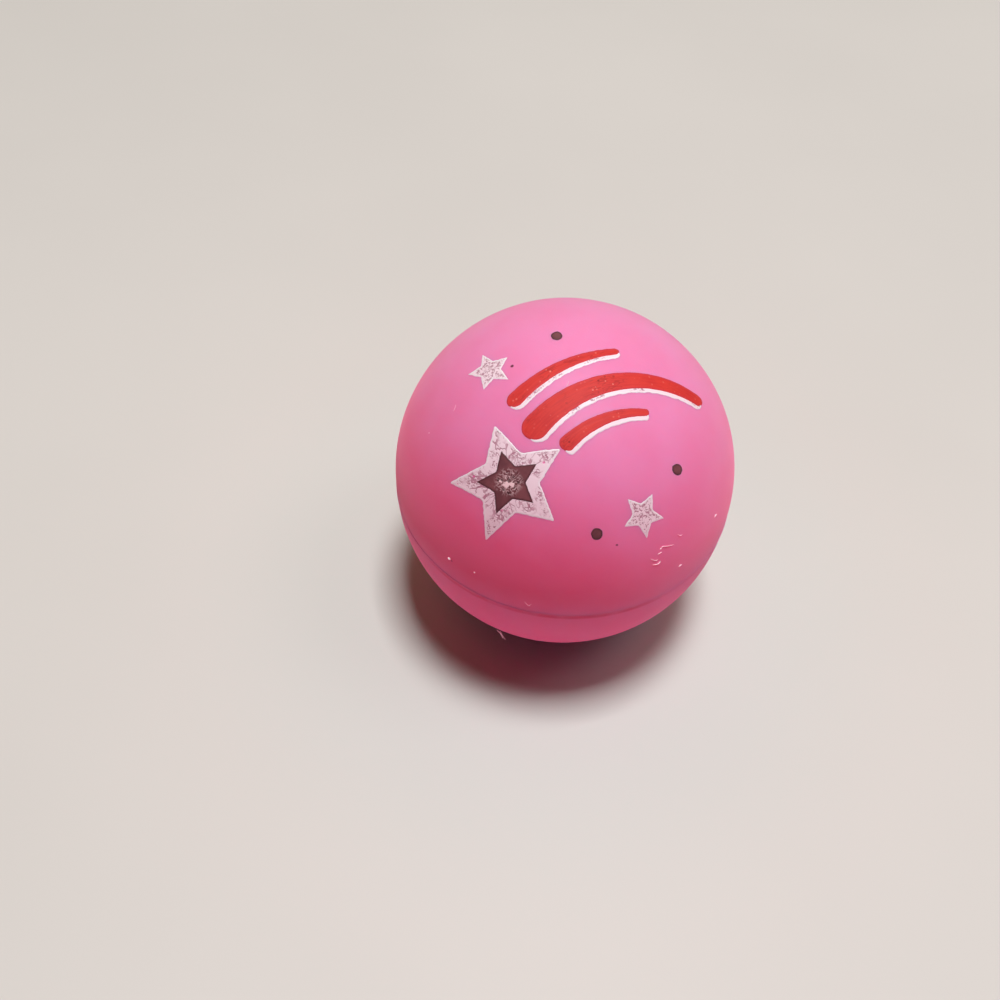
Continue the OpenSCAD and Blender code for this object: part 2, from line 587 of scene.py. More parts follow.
@dataclass(frozen=True)
class Studio:
    """The pale table, the pale room and the soft lamps."""

    ball: BallFrame
    table_width: float = 0.6
    table_colour: Colour = linear(213, 207, 202)
    cloud_size: float = 60.0  # millimetres
    cloud_shade: float = 0.97  # of the table's colour, between the clouds
    table_roughness: float = 0.6
    bounce_colour: Colour = (0.90, 0.265, 0.41)  # of the table, for the light that it throws back
    room_colour: Colour = linear(232, 228, 224)  # that the camera sees beyond the table
    room_light: Colour = (0.86, 1.0, 0.52)
    room_strength: float = 0.22  # of the light from the back
    front_share: float = 0.03  # of that strength, from the front
    # Shares of painted shade, which takes the ball's red light out of the table's colour, each with
    # the distances from the ball's foot between which it fades, in millimetres
    painted_shade_shares: tuple[Triple, ...] = ((0.10, 14.0, 42.0), (0.40, 9.0, 15.0))
    lamps: tuple[SoftLamp, ...] = (
        SoftLamp("key_lamp", heading=112.0, rise=86.0, distance=0.90, width=0.22, power=8.0,
                 colour=(0.99, 0.96, 0.98)),
        SoftLamp("side_lamp", heading=97.0, rise=58.0, distance=0.9, width=0.34, power=0.80,
                 colour=(0.90, 0.92, 1.0)),
    )

    def table_material(self) -> Material:
        """A matt painted table top with faint clouds, which throws back warmer light.

        Returns:
            The material.
        """
        graph = new_material("painted_table")
        place = graph.place()
        cloud = graph.noise(place, self.cloud_size, 3.0).step(0.3, 0.7)
        shade = tuple(self.cloud_shade * c for c in self.table_colour)
        # Less red round the ball's foot: painted shade against its red light, and in its shadow
        foot = place.distance((0.0, 0.0, self.ball.rest_z / MM))
        redless = (0.0, *self.table_colour[1:])
        painted_light = [(share * foot.fall(near, far), redless) for share, near, far in self.painted_shade_shares]
        painted = graph.mix(shade, (cloud, self.table_colour), *painted_light)
        colour = graph.mix(self.bounce_colour, (graph.seen("Camera", "Glossy"), painted))
        return graph.surface({"Base Color": colour, "Roughness": self.table_roughness})

    def room(self) -> World:
        """Light from the back of the room, where the camera sees a pale room.

        Returns:
            The world.
        """
        graph = ShaderGraph(bpy.data.worlds.new("pale_room"))
        behind = graph.place().heading().dot(BACK).step(-0.15, 0.55)
        light = self.room_strength * (self.front_share + (1.0 - self.front_share) * behind)
        seen = graph.seen("Camera")
        colour = graph.mix(self.room_light, (seen, self.room_colour))
        inputs = {"Color": colour, "Strength": seen.most(light)}
        shown = graph.node("ShaderNodeBackground", {}, inputs)
        graph.node("ShaderNodeOutputWorld", {}, {"Surface": shown["Background"]})
        return graph.owner

    def build(self) -> None:
        """Makes the table under the ball, the room and the lamps."""
        square = np.array([[-0.5, -0.5, 0.0], [0.5, -0.5, 0.0], [0.5, 0.5, 0.0], [-0.5, 0.5, 0.0]])
        corners = square * self.table_width + np.array([0.0, 0.0, self.ball.rest_z])
        table = MeshParts().add(corners, [np.array([[0, 1, 2, 3]])]).piece("table_top")
        table.data.materials.append(self.table_material())
        bpy.context.scene.world = self.room()
        for lamp in self.lamps:
            lamp.build()
        bpy.context.scene.view_settings.view_transform = "Standard"


@dataclass(frozen=True)
class Speck:
    """A dark fleck in the rubber, or a grain of dust on it, found in the photograph."""

    pixel: Pair
    width: float  # millimetres
    strength: float = 1.0  # how much of its own colour shows


@dataclass(frozen=True)
class RubberFinish:
    """Satin moulded rubber: mottled, painted shade near and in its grimy seam, a few dark flecks.
    """

    ball: BallFrame
    camera: PhotoCamera
    colour: Colour = linear(255, 147, 197)
    shade_and_cloud: Colour = linear(249, 99, 150)  # painted shade, and the rubber's denser clouds
    seam: Colour = linear(238, 82, 132)  # of the grime and the painted shade in the seam
    fleck: Colour = linear(96, 20, 45)
    # Millimetres from the parting plane between which the painted shade and the seam's grime and
    # painted shade fade, and between which the painted shade sets in above it
    shade_reach: Pair = (3.5, 14.5)
    seam_reach: Pair = (0.10, 0.42)
    above_seam: Pair = (-0.8, 4.5)
    below_share: float = 0.05  # of the painted shade, on the half below the seam
    # Millimetres to the left between which the painted shade deepens, and from the middle between
    # which the seam's grime and painted shade fade
    left_side: Pair = (-12.0, 8.0)
    grime_and_shade_middle: Pair = (8.0, 12.0)
    # Sizes of the clouds, of the patches of grime and painted shade, of the grain, and the grain's
    # depth, in millimetres
    cloud_size: float = 6.0
    grime_and_shade_size: float = 3.5
    grain_size: float = 0.16
    grain_depth: float = 0.010
    flecks: tuple[Speck, ...] = (
        Speck((512.0, 366.0), 0.30),
        Speck((617.0, 545.0), 0.22, 0.8),
        Speck((451.5, 561.0), 0.20, 0.6),
    )

    def material(self) -> Material:
        """Builds the rubber.

        Returns:
            The material.
        """
        graph = new_material("pink_rubber")
        place = graph.place()
        leftwards = place.dot(LEFT)
        left = leftwards.step(*self.left_side)
        height = place.dot(UP) - self.ball.parting_z / MM
        above = height.step(*self.above_seam)
        cloud = graph.noise(place, self.cloud_size, 3.0)
        grain = graph.noise(place, self.grain_size)
        patchy = graph.noise(place, self.grime_and_shade_size).step(0.35, 0.6)
        middle = abs(1.0 - leftwards).fall(*self.grime_and_shade_middle)
        # Grime and painted shade along the seam, patchy, and strongest towards the front and the
        # back
        grime_and_shade = abs(height + 0.03).fall(*self.seam_reach)
        grime_and_shade = grime_and_shade * (0.45 + 0.55 * patchy) * (0.2 + 0.8 * middle)
        ragged = 0.1 * (graph.noise(place, 0.12) - 0.5)
        fleck = graph.spots(place, ragged, (0.6, 1.2), [
            (self.camera.on_ball(self.ball, speck.pixel) / MM, speck.width / 2.0, speck.strength)
            for speck in self.flecks])
        # Painted shade towards the seam and on the left, less below it, plus the rubber's own
        # clouds
        shade_and_cloud_share = abs(height).fall(*self.shade_reach) * (0.6 + 0.45 * left)
        shade_and_cloud_share = shade_and_cloud_share * (self.below_share + (1.0 - self.below_share) * above)
        shade_and_cloud_share = shade_and_cloud_share + 0.12 * left + 0.2 * cloud.step(0.3, 0.7)
        return graph.surface({
            "Base Color": graph.mix(self.colour, (shade_and_cloud_share, self.shade_and_cloud), (grime_and_shade, self.seam),
                                    (fleck, self.fleck)),
            "Roughness": 0.50 + 0.10 * cloud + 0.06 * grain,
            "Normal": graph.bump(grain - fleck, self.grain_depth),
            "Specular IOR Level": 0.35,
            "Subsurface Weight": 1.0,
            "Subsurface Radius": (1.0, 0.50, 0.60),
            "Subsurface Scale": 0.5 * MM,
            "Sheen Weight": 0.4,
            "Sheen Roughness": 0.6,
            "Sheen Tint": (1.0, 0.40, 0.55),
        })


@dataclass(frozen=True)
class WhiteInkFinish:
    """White ink that has dried thin: a beaded rim, and a skin that the pad's pull has creased."""

    name: str
    rays: float  # how strong the creases are that run out from the patch's middle, from 0 to 1
    crumbs: float  # how far the small crooked creases and specks spread, from 0 to 1
    holes: float  # how many pinholes show, from 0 to 1
    rim: Colour = linear(255, 238, 244)
    skin: Colour = linear(254, 222, 233)
    crease: Colour = linear(176, 96, 124)
    bare: Colour = linear(238, 112, 170)  # where the rubber shows
    rim_width: Pair = (0.06, 0.28)  # millimetres from the outline between which the skin sets in
    ray_count: int = 36  # of those creases, round a patch
    relief: float = 0.045  # millimetres

    def material(self) -> Material:
        """Builds the ink.

        Returns:
            The material.
        """
        graph = new_material(self.name)
        place = graph.place()
        fanned = graph.fanned(graph.vector("plate_mm"), self.ray_count, 0.8)
        inside = graph.number("edge_mm").step(*self.rim_width)
        worn = graph.noise(place, 2.6).step(0.45, 0.60)
        ray = graph.worms(fanned, 1.0, 0.055) * worn * self.rays
        dash = graph.worms(place, 0.30, 0.10, 0.5) * graph.noise(place, 0.36).step(0.50, 0.56)
        speck = graph.noise(place, 0.15, 1.0).step(0.56, 0.63)
        clean, full = 0.60 - 0.45 * self.crumbs, 0.66 - 0.24 * self.crumbs
        spread = graph.noise(place, 1.4).step(clean, full)
        crease = ray.most(speck.most(dash) * spread) * inside
        hole = graph.dots(place, 0.62, 0.26) * graph.noise(place, 1.3).step(0.50, 0.60)
        hole = hole * inside * self.holes
        cloud = graph.noise(place, 0.8, 3.0)
        thick = 1.0 - 0.8 * crease.most(hole) + 0.25 * cloud
        return graph.surface({
            "Base Color": graph.mix(self.rim, (inside * (0.60 + 0.40 * cloud), self.skin),
                                    (crease * (0.45 + 0.60 * cloud), self.crease),
                                    (hole, self.bare)),
            "Roughness": 0.42 + 0.15 * cloud,
            "Normal": graph.bump(thick, self.relief),
            "Specular IOR Level": 0.45,
        })


@dataclass(frozen=True)
class RedInkFinish:
    """Opaque red ink with drag lines along the streak, pale pinpricks and a thin dark edge."""

    body: Colour = linear(206, 44, 44)
    bright: Colour = linear(224, 58, 50)  # where it lies thick
    edge: Colour = linear(214, 56, 66)
    prick: Colour = linear(245, 132, 118)
    spot: Colour = linear(138, 22, 28)
    edge_width: Pair = (0.05, 0.30)  # millimetres from the outline between which the edge ends
    relief: float = 0.020  # millimetres

    def material(self) -> Material:
        """Builds the ink.

        Returns:
            The material.
        """
        graph = new_material("red_ink")
        place = graph.place()
        plate = graph.vector("plate_mm")
        inside = graph.number("edge_mm").step(*self.edge_width)
        drag = graph.noise(plate.stretched((2.2, 0.16, 1.0)), 1.0, 3.0)
        cloud = graph.noise(place, 2.0)
        heavy = (drag * 0.6 + cloud * 0.5).step(0.35, 0.75)
        worn = graph.noise(place, 3.0).step(0.46, 0.60)
        prick = graph.dots(place, 0.48, 0.24) * graph.noise(place, 1.1).step(0.42, 0.52)
        prick = prick * inside * (0.35 + 0.65 * worn)
        line = graph.worms(plate.stretched((1.1, 0.30, 1.0)), 1.0, 0.05) * worn * inside
        spot = graph.dots(place + (0.3, 0.2, 0.1), 0.80, 0.17) * worn * inside
        grain = graph.noise(place, 0.22)
        thick = 0.6 * drag + 0.3 * cloud - 0.6 * prick - 0.5 * spot + 0.35 * grain
        return graph.surface({
            "Base Color": graph.mix(self.body, (heavy, self.bright),
                                    ((1.0 - inside) * 0.7, self.edge), (line * 0.35, self.spot),
                                    (spot * 0.8, self.spot), (prick * 0.85, self.prick)),
            "Roughness": 0.56 + 0.12 * drag,
            "Normal": graph.bump(thick, self.relief),
            "Specular IOR Level": 0.3,
        })


@dataclass(frozen=True)
class BlackInkFinish:
    """Thin black ink, brown where the rubber glows through, its middle lifted by the pad."""

    body: Colour = linear(108, 60, 67)
    warm: Colour = linear(134, 76, 82)  # where it is thinner
    edge: Colour = linear(84, 44, 52)  # where it is thickest
    fleck: Colour = linear(255, 216, 219)  # under the lifted flecks
    pit: Colour = linear(58, 18, 26)  # of the dark pits beside them
    edge_width: Pair = (0.04, 0.26)  # millimetres from the outline between which the edge ends
    ray_count: int = 20  # of the crumbs' rows, round the worn middle
    relief: float = 0.030  # millimetres
    # The largest flecks: middle on the plate and radius, in millimetres, and strength
    beads: tuple[Spot, ...] = (
        ((-0.20, -0.16, 0.0), 0.25, 1.0),
        ((0.30, -0.22, 0.0), 0.18, 1.0),
        ((-0.66, 0.08, 0.0), 0.10, 1.0),
    )

    def material(self) -> Material:
        """Builds the ink.

        Returns:
            The material.
        """
        graph = new_material("black_ink")
        place = graph.place()
        plate = graph.vector("plate_mm")
        inside = graph.number("edge_mm").step(*self.edge_width)
        worn = graph.number("worn") + 0.3 * (graph.noise(place, 0.9) - 0.5)
        cloud = graph.noise(place, 1.2, 3.0)
        ragged = 0.5 * (graph.noise(place, 0.28) - 0.5)
        bead = graph.spots(plate, ragged, (0.8, 1.1), self.beads) * worn.step(0.05, 0.20)
        chip = graph.noise(place, 0.20, 1.0).step(0.57, 0.64) * worn.step(0.10, 0.55)
        fanned = graph.fanned(plate, self.ray_count, 0.45)
        crumb = graph.worms(fanned, 1.0, 0.07) * worn.step(0.10, 0.45)
        fleck = bead.most(chip * (0.25 + 0.5 * worn)).most(crumb * 0.35) * inside
        pit = graph.dots(place + (0.2, 0.1, 0.3), 0.40, 0.42) * worn.step(0.15, 0.5)
        pit = pit * (1.0 - bead)
        return graph.surface({
            "Base Color": graph.mix(self.body, (cloud.step(0.3, 0.7), self.warm),
                                    (1.0 - inside, self.edge), (pit * 0.8, self.pit),
                                    (fleck, self.fleck)),
            "Roughness": 0.42 + 0.12 * cloud,
            "Normal": graph.bump(0.4 * cloud + 0.8 * fleck - 0.8 * pit, self.relief),
            "Specular IOR Level": 0.45,
        })


@dataclass(frozen=True)
class LintFinish:
    """Pale lint and dust, pinker where it is thin and the rubber shows through."""

    pale: Colour = linear(255, 242, 244)
    thin: Colour = linear(238, 148, 180)
    painted_light: float = 0.25  # strength of its painted light, an emission in its own colour

    def material(self) -> Material:
        """Builds the lint.

        Returns:
            The material.
        """
        graph = new_material("pale_lint")
        cloud = graph.noise(graph.place(), 0.5)
        colour = graph.mix(self.thin, (graph.number("strength") - 0.3 * cloud, self.pale))
        # The emission is painted light: the lint shines though it is no lamp
        return graph.surface({"Base Color": colour, "Roughness": 0.3 + 0.2 * cloud,
                              "Emission Color": colour, "Emission Strength": self.painted_light})


def dress(piece: Object, material: Material,
          node: Optional[str] = None) -> None:
    """Gives a piece its material and its body, hides the node that it stands for, and reports it.

    Args:
        piece: The new piece.
        material: Its material.
        node: The node of the frame that it stands for, if any.
    """
    piece.data.materials.append(material)
    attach(piece, BODY)
    if node is not None:
        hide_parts(node)
    LOG.info("%s: %d points of %s, which stand for %s", piece.name, len(piece.data.vertices),
             material.name, node or "no node")


@dataclass(frozen=True)
class RubberBody:
    """The two moulded halves and the trimmed flash between them."""

    ball: BallFrame
    turns: int = 360  # steps round the axis
    dome_steps: int = 130  # from the parting plane to a pole
    skirt_rings: int = 5  # of points up the straight band
    lip_steps: int = 6  # round the upper half's edge over the flash
    groove_steps: int = 8  # down the lower half's edge under it
    nose_steps: int = 12  # round the flash's trimmed face
    flash_root: float = 0.8 * MM  # how far the flash reaches into the ball
    nose: float = 0.012 * MM  # how far its trimmed face is rounded
    close_trim: float = 0.05  # share of the flash that is left at the front and at the back
    wide_trim: float = 0.35  # share that is left at the sides
    uneven: float = 0.2  # share of the flash by which the trimming wanders
    groove_depth: float = 0.02 * MM
    groove_height: float = 0.3 * MM
    patch_radius: float = 0.9 * MM  # of the patch that the ball rests on
    lip: float = 0.01 * MM  # radius of the upper half's rounded edge over the flash
    relief_depth: float = 0.02 * MM  # of the shallow waves that the mould leaves
    skin: Pair = (0.97, 0.99)  # shares of the radius between which those waves set in
    waves: Ripple = Ripple(seed=11, shortest=7.0 * MM, longest=16.0 * MM)
    trim: Ripple = Ripple(seed=5, shortest=0.08, longest=0.9, waves=16)

    def relief(self, points: Array) -> Array:
        """Moves points towards the middle by depth (1 + waves) / 2, but not at the rest patch.

        Args:
            points: Rows of x, y and z.

        Returns:
            The moved points.
        """
        floor = self.ball.rest_z
        reach = np.linalg.norm(points, axis=1)
        outer = smooth_step(reach, *(self.ball.radius * share for share in self.skin))
        off_patch = smooth_step(points[:, 2], floor, floor + 1.0 * MM)
        sunk = self.relief_depth * (1.0 + self.waves.at(points)) / 2.0 * outer * off_patch
        return points * (1.0 - sunk / np.maximum(reach, MM))[:, None]

    def upper_profile(self) -> Array:
        """From the middle of the parting plane out, round the flash's seat and up the dome.

        Returns:
            Rows of r and z.
        """
        b, lip = self.ball, self.lip
        seat = b.radius - self.flash_root
        skirt = np.linspace(b.flash_top + 2.0 * lip, b.dome_z, self.skirt_rings)
        return np.concatenate([
            [[0.0, b.parting_z], [seat, b.parting_z], [seat, b.flash_top]],
            [[b.radius - 3.0 * lip, b.flash_top]],
            arc((b.radius - lip, b.flash_top + lip), lip, -90.0, 0.0, self.lip_steps),
            np.stack([np.full(len(skirt), b.radius), skirt], axis=-1),
            arc((0.0, b.dome_z), b.radius, 0.0, 90.0, self.dome_steps)[1:-1],
            [[0.0, b.dome_z + b.radius]],
        ])

    def lower_profile(self) -> Array:
        """From the middle of the rest patch out, up the lower dome and over the groove's lip.

        Returns:
            Rows of r and z.
        """
        b = self.ball
        patch, mouth = (math.degrees(math.asin(size / b.radius))
                        for size in (self.patch_radius, self.groove_height))
        dome = arc((0.0, b.parting_z), b.radius, patch - 90.0, -mouth, self.dome_steps)
        a = np.radians(np.linspace(0.0, 90.0, self.groove_steps + 1))[1:]
        lip = dome[-1] + np.stack([-self.groove_depth * (1.0 - np.cos(a)),
                                   self.groove_height * np.sin(a)], axis=-1)
        return np.concatenate([
            [[0.0, b.rest_z], [self.patch_radius / 2.0, b.rest_z]], dome, lip,
            [[b.radius - self.flash_root, b.parting_z], [0.0, b.parting_z]],
        ])

    def flash(self) -> Object:
        """A thin ring, trimmed closest at the front and at the back.

        Its nose is proud by the frame's length times (1 - uneven + uneven ripple) and times
        (close + (wide - close) x^2), where x is the share of the way from the front to the side.

        Returns:
            The piece.
        """
        b = self.ball
        ring = circle(self.turns * 2)
        rough = 1.0 - self.uneven + self.uneven * self.trim.at(ring)
        proud = (b.flash_radius - b.radius) * rough
        proud = proud * (self.close_trim + (self.wide_trim - self.close_trim) * ring[:, 0] ** 2)
        nose = np.radians(np.linspace(-90.0, 90.0, self.nose_steps + 1))
        nose_r = (b.radius + proud - self.nose) + self.nose * np.cos(nose)[:, None]
        root = np.full((1, len(ring)), b.radius - self.flash_root)
        r = np.concatenate([root, nose_r, root, root])
        level = np.concatenate([[-1.0], np.sin(nose), [1.0, -1.0]])[:, None]
        z = b.parting_z + (b.flash_top - b.parting_z) / 2.0 * (1.0 + level)
        parts = MeshParts().add(around(r, z, ring), [quads(*r.shape)])
        return parts.piece("parting_flash_ring", weld=TINY)

    def build(self, rubber: Material) -> None:
        """Makes the three pieces of rubber.

        Args:
            rubber: Their material.
        """
        for node, profile in (("upper_half", self.upper_profile()),
                              ("lower_half", self.lower_profile())):
            points, faces = turned(profile, self.turns)
            half = MeshParts().add(self.relief(points), faces).piece(f"{node}_rubber")
            dress(half, rubber, node)
        dress(self.flash(), rubber, "parting_flash")


@dataclass(frozen=True)
class InkPatch:
    """A patch of ink on the flat plate, as a grid that runs from its middle out to its outline."""

    middle: Array  # rows of u and v of the middle line, one for each point of the outline
    outline: Array  # rows of u and v round the patch, anticlockwise
    middle_plate: Array  # rows of the patch's own two coordinates at the middle line
    outline_plate: Array  # rows of the same at the outline

    def ragged(self, depth: float, seed: int) -> "InkPatch":
        """The patch with its outline moved in and out by depth times a ripple, as ink beads."""
        wave = Ripple(seed, shortest=0.25 * MM, longest=1.2 * MM, waves=14).at(self.outline)
        return replace(self, outline=self.outline
                       + unit(self.outline - self.middle) * (depth * wave)[:, None])

    def holds(self, points: Array) -> Array:
        """Whether a ray to the right of each point crosses the outline an odd number of times.

        Args:
            points: Rows of u and v.

        Returns:
            True or False for each point.
        """
        start, end = self.outline, np.roll(self.outline, -1, axis=0)
        u, v = points[:, 0, None], points[:, 1, None]
        spans = (start[:, 1] > v) != (end[:, 1] > v)
        rise = np.where(np.abs(end[:, 1] - start[:, 1]) < TINY, TINY, end[:, 1] - start[:, 1])
        at = start[:, 0] + (end[:, 0] - start[:, 0]) * (v - start[:, 1]) / rise
        return (spans & (u < at)).sum(axis=1) % 2 == 1

    def gap(self, points: Array) -> Array:
        """The distance of each point from the nearest point of the outline."""
        return np.linalg.norm(points[:, None] - self.outline[None], axis=-1).min(axis=1)


def round_patch(centre: Pair, outline: Array) -> InkPatch:
    """A patch with an outline about one point, which is its middle."""
    middle = np.broadcast_to(np.array(centre), outline.shape)
    return InkPatch(middle, outline + middle, np.zeros_like(outline), outline)


def star(centre: Pair, tip: float, notch: float, turn: float, tips: int = 5,
         per_side: int = 34, soften: int = 2) -> InkPatch:
    """A star: straight sides between tips and notches, whose corners the ink rounds a little.

    Args:
        centre: Its middle, as u and v.
        tip: Radius out to the tips.
        notch: Radius of the inner corners.
        turn: Turn of the star, in degrees.
        tips: Number of tips.
        per_side: Points along each side.
        soften: Neighbours on each side with which a point is averaged.

    Returns:
        The patch.
    """
    corner = np.arange(2 * tips)
    angle = np.radians(90.0 + turn + corner * 180.0 / tips)
    radius = np.where(corner % 2 == 0, tip, notch)
    corners = np.stack([radius * np.cos(angle), radius * np.sin(angle)], axis=-1)
    share = (np.arange(per_side) / per_side)[None, :, None]
    sides = corners[:, None] * (1.0 - share) + np.roll(corners, -1, axis=0)[:, None] * share
    dense = sides.reshape(-1, 2)
    near = [np.roll(dense, k, axis=0) for k in range(-soften, soften + 1)]
    return round_patch(centre, np.mean(near, axis=0))


@dataclass(frozen=True)
class Bend:
    """The arc that all streaks follow away from the large star."""

    star: Pair  # middle of the large star, as u and v
    radius: float
    heading: float  # direction in which the streaks leave the star, in degrees
    keep: float = 0.5  # share of its width that a streak keeps at its far end
    steps: int = 150  # along each side of a streak
    cap_steps: int = 20  # round each of its ends

    def point(self, reach: Array, along: Array) -> Array:
        """Points C + r (-sin(h - s / R), cos(h - s / R)) about the arc's centre C.

        Args:
            reach: Distance r from the centre.
            along: Length s along the arc, past the star.

        Returns:
            Rows of u and v.
        """
        heading = math.radians(self.heading)
        centre = (self.star[0] + self.radius * math.sin(heading),
                  self.star[1] - self.radius * math.cos(heading))
        a = heading - along / self.radius
        return np.stack([centre[0] - reach * np.sin(a), centre[1] + reach * np.cos(a)], axis=-1)

    def streak(self, lane: float, start: float, length: float, width: float) -> InkPatch:
        """A tapered streak with round ends, beside the arc by its lane.

        Args:
            lane: Distance outside the arc.
            start: Where it starts past the star.
            length: Its length.
            width: Its width where it starts.

        Returns:
            The patch. Its own coordinates are the length along it and the distance across.
        """
        share = np.linspace(0.0, 1.0, self.steps + 1)
        half = width / 2.0 * (1.0 + (self.keep - 1.0) * share)
        cap = np.radians(np.arange(1, self.cap_steps) * 180.0 / self.cap_steps)
        across = np.concatenate([half, half[-1] * np.cos(cap), -half[::-1], -half[0] * np.cos(cap)])
        along = np.concatenate([length * share, length + half[-1] * np.sin(cap),
                                length * share[::-1], -half[0] * np.sin(cap)])
        across, along = across[::-1], along[::-1]
        reach = self.radius + lane
        within = np.clip(along, 0.0, length)
        return InkPatch(
            middle=self.point(np.full_like(along, reach), start + within),
            outline=self.point(reach + across, start + along),
            middle_plate=np.stack([within, np.zeros_like(within)], axis=-1),
            outline_plate=np.stack([along, across], axis=-1),
        )


@dataclass(frozen=True)
class PrintPlate:
    """The flat plate of the print, and how it wraps on the dome."""

    body: RubberBody  # whose waves the ink follows
    rise: float = 59.0  # degrees of the print's middle above the parting line
    swing: float = 7.0  # degrees of the same to the right of the front

    def wrap(self, flat: Array, height: Array) -> Array:
        """Carries (u, v) to (u, v, sqrt(r^2 - u^2 - v^2)) on a sphere of r = radius + height.

        Args:
            flat: Rows of u and v.
            height: Height of each point above the rubber.

        Returns:
            Rows of x, y and z in the frame.
        """
        ball = self.body.ball
        w = np.sqrt((ball.radius + height) ** 2 - (flat ** 2).sum(axis=-1))
        turn = np.array(spin(self.swing, "Z") @ spin(90.0 - self.rise, "X"))
        points = np.column_stack([flat, w]) @ turn.T + np.array([0.0, 0.0, ball.dome_z])
        return self.body.relief(points)


@dataclass(frozen=True)
class InkLayer:
    """One pass of ink: how thick it lies and what it lies on."""

    plate: PrintPlate
    thickness: float  # of the ink's rim
    inside_share: float = 0.8  # of that thickness, inside the rim
    base: float = 0.0  # height of what it lies on, above the rubber
    over: tuple[InkPatch, ...] = ()  # patches of ink that it drapes over
    step: float = 0.0  # height of those patches
    worn_radius: float = 0.0  # of the worn spot in the middle of a patch, or 0
    rows: int = 26  # of points from the middle to the outline
    sink: float = 0.01 * MM  # how far the underside reaches into what carries it
    edge: float = 0.12 * MM  # width of the ink's sloping edge
    drape: float = 0.22 * MM  # width of its slope where it drapes over a patch
    rim: float = 0.35 * MM  # width of its thicker rim
    weld: float = 0.001 * MM

    def floor(self, flat: Array) -> Array:
        """Height of what carries the ink: the base, and the step where another patch lies.

        Args:
            flat: Rows of u and v.

        Returns:
            One height for each point.
        """
        height = np.full(len(flat), self.base)
        for patch in self.over:
            gap = np.where(patch.holds(flat), 1.0, -1.0) * patch.gap(flat)
            height = np.maximum(height, self.base + self.step * smooth_step(gap, 0.0, self.drape))
        return height

    def build(self, name: str, patches: list[InkPatch]) -> Object:
        """Makes the layer as closed skins, each a top and an underside.

        The top lies at floor + thickness (inside + (1 - inside) rim) edge, where edge rises from
        0 to 1 beside the outline, and rim falls from 1 to 0 beyond that.

        Args:
            name: Name of the piece.
            patches: The patches of ink.

        Returns:
            The piece, with its distance from the outline, its wear and its own coordinates.
        """
        parts = MeshParts()
        share = (1.0 - (1.0 - np.arange(self.rows) / (self.rows - 1)) ** 2)[:, None, None]
        for patch in patches:
            flat = (patch.middle * (1.0 - share) + patch.outline * share).reshape(-1, 2)
            own = patch.middle_plate * (1.0 - share) + patch.outline_plate * share
            own = np.pad(own.reshape(-1, 2), ((0, 0), (0, 1)))
            worn = np.zeros(len(flat))
            if self.worn_radius:
                worn = 1.0 - smooth_step(np.linalg.norm(own, axis=1), 0.0, self.worn_radius)
            gap = patch.gap(flat)
            edge = smooth_step(gap, 0.0, self.edge)
            rim = 1.0 - smooth_step(gap, self.edge, self.rim)
            floor = self.floor(flat)
            full = self.thickness * (self.inside_share + (1.0 - self.inside_share) * rim)
            top = floor + (full + self.sink) * edge - self.sink / 2.0
            points = [self.plate.wrap(flat, top), self.plate.wrap(flat, floor - self.sink)]
            grid = quads(self.rows, len(patch.outline))
            above = np.arange(len(flat) - len(patch.outline), len(flat))
            below = above + len(flat)
            wall = np.stack([above, below, np.roll(below, -1), np.roll(above, -1)], axis=-1)
            values = {"edge_mm": gap / MM, "worn": worn, "plate_mm": own / MM}
            parts.add(np.concatenate(points), [grid[:, ::-1], grid + len(flat), wall],
                      **{key: np.concatenate([found, found]) for key, found in values.items()})
        return parts.piece(name, weld=self.weld)


